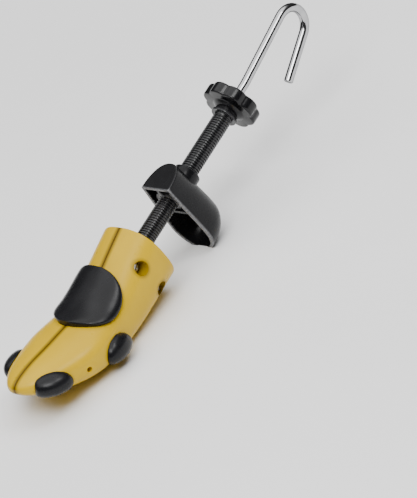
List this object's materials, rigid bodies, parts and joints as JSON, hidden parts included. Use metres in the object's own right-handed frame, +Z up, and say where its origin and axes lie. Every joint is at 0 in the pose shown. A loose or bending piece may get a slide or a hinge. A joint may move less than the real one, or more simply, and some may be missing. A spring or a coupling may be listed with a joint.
{
  "type": "shoe stretcher",
  "caption": "Two-way shoe stretcher: split last with side plugs and instep saddle, screw-fed heel piece with lobed knob, and hooked handle rod.",
  "frame": {"origin": "middle of the whole outline in plan, on the floor that the stretcher lies on", "axes": "+Z up, +X from the toe toward the hook, -Y the side that faces the camera; the screw line rises 12.5 degrees toward the hook"},
  "size_m": [0.3682, 0.0782, 0.0925],
  "materials": {
    "last": "glossy yellow moulded plastic",
    "heel": "glossy black moulded plastic",
    "knob": "glossy black moulded plastic",
    "sleeve": "black moulded plastic, threaded",
    "pad": "satin black moulded plastic",
    "carrier": "black glass-filled plastic",
    "ring": "black plastic",
    "rod": "bright plated steel",
    "rail": "die-cast metal",
    "wedge": "brass block",
    "steel": "steel",
    "washer": "natural acetal"
  },
  "bodies": {
    "carrier": {"spreader_carrier": "carrier", "cross_pins": "steel", "rod_thrust_washers": "washer", "rod_retaining_ring": "steel", "sleeve_retaining_ring": "ring"},
    "near_half": {"near_last_half": "last", "near_ramp_rail": "rail", "near_rail_screws": "steel"},
    "far_half": {"far_last_half": "last", "far_ramp_rail": "rail", "far_rail_screws": "steel"},
    "wedge": {"wedge_block": "wedge"},
    "handle": {"hook_rod": "rod", "rod_collar": "steel"},
    "screw": {"threaded_sleeve": "sleeve", "knob": "knob"},
    "heel": {"heel_piece": "heel"},
    "near_toe": {"near_toe_plug": "pad"},
    "near_ball": {"near_ball_plug": "pad"},
    "far_toe": {"far_toe_plug": "pad"},
    "far_ball": {"far_ball_plug": "pad"},
    "saddle": {"instep_saddle": "pad"}
  },
  "joints": [
    {"name": "hook_turn", "type": "hinge", "parent": "carrier", "child": "handle", "pos_m": [-0.02004, 0, 0.04142], "axis": [-0.9763, 0, -0.2164], "range_deg": [0, 5760]},
    {"name": "wedge_run", "type": "slide", "parent": "carrier", "child": "wedge", "axis": [-0.9763, 0, -0.2164], "range_m": [0, 0.024]},
    {"name": "near_spread", "type": "slide", "parent": "carrier", "child": "near_half", "axis": [0, -1, 0], "range_m": [0, 0.00688]},
    {"name": "far_spread", "type": "slide", "parent": "carrier", "child": "far_half", "axis": [0, 1, 0], "range_m": [0, 0.00688]},
    {"name": "saddle_rise", "type": "slide", "parent": "carrier", "child": "saddle", "axis": [-0.2164, 0, 0.9763], "range_m": [0, 0.01033]},
    {"name": "knob_turn", "type": "hinge", "parent": "carrier", "child": "screw", "pos_m": [-0.02004, 0, 0.04142], "axis": [-0.9763, 0, -0.2164], "range_deg": [-5760, 8100]},
    {"name": "heel_run", "type": "slide", "parent": "carrier", "child": "heel", "axis": [0.9763, 0, 0.2164], "range_m": [-0.032, 0.045]},
    {"name": "near_toe_pull", "type": "slide", "parent": "near_half", "child": "near_toe", "axis": [-0.5256, -0.8491, -0.0537], "range_m": [0, 0.009]},
    {"name": "near_ball_pull", "type": "slide", "parent": "near_half", "child": "near_ball", "axis": [0.1731, -0.945, -0.2777], "range_m": [0, 0.009]},
    {"name": "far_toe_pull", "type": "slide", "parent": "far_half", "child": "far_toe", "axis": [-0.3196, 0.9424, 0.0984], "range_m": [0, 0.009]},
    {"name": "far_ball_pull", "type": "slide", "parent": "far_half", "child": "far_ball", "axis": [0.2105, 0.9771, -0.0311], "range_m": [0, 0.009]}
  ],
  "couplings": [
    {"joint": "wedge_run", "follows": "hook_turn", "m_per_rad": 0.00023873},
    {"joint": "near_spread", "follows": "hook_turn", "m_per_rad": 0.000068455},
    {"joint": "far_spread", "follows": "hook_turn", "m_per_rad": 0.000068455},
    {"joint": "saddle_rise", "follows": "hook_turn", "m_per_rad": 0.00010268},
    {"joint": "heel_run", "follows": "knob_turn", "m_per_rad": 0.00031831}
  ]
}
